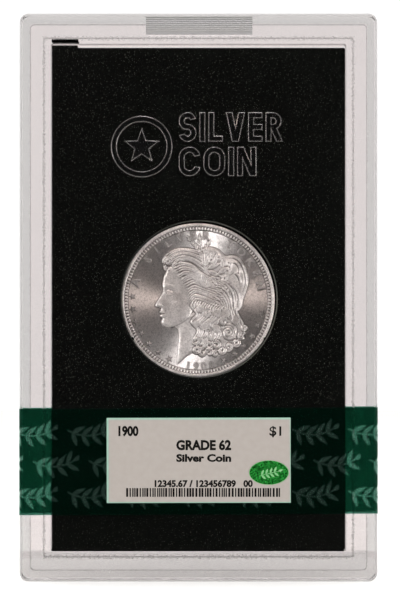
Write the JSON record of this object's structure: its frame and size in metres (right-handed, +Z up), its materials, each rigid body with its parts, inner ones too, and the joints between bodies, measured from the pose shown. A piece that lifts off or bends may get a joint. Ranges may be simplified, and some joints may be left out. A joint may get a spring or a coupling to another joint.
{
  "type": "graded coin slab",
  "caption": "Clear press-fit coin holder with a black insert, a silver dollar-size coin, a green seal band and a printed label.",
  "frame": {"origin": "middle of the bottom edge, on the surface that the slab stands on", "axes": "+Z up along the slab's height, +X to the right, -Y out of the front face"},
  "size_m": [0.0882, 0.0095, 0.1397],
  "materials": {
    "clear_plastic": "gloss",
    "insert_black": "matte",
    "spacer_black": "satin",
    "coin_silver": "satin",
    "title_black": "gloss",
    "green_film": "gloss",
    "label_carrier": "matte",
    "label_paper": "matte",
    "green_foil": "gloss"
  },
  "bodies": {
    "case_rear": {"rear_shell": "clear_plastic", "core_rear_plate": "insert_black", "coin_ring": "spacer_black", "core_front_plate": "insert_black", "title_relief": "title_black", "seal_band_rear": "green_film"},
    "front_cover": {"front_cover": "clear_plastic", "seal_band_front": "green_film", "label_backing": "label_carrier", "label": "label_paper", "grade_sticker": "green_foil"},
    "coin": {"coin": "coin_silver"}
  },
  "joints": [
    {"name": "cover_lift", "type": "slide", "parent": "case_rear", "child": "front_cover", "axis": [0, -1, 0], "range_m": [0, 0.03]},
    {"name": "coin_turn", "type": "hinge", "parent": "case_rear", "child": "coin", "pos_m": [-0.00018, 0.00025, 0.06919], "axis": [0, -1, 0], "continuous": true}
  ]
}
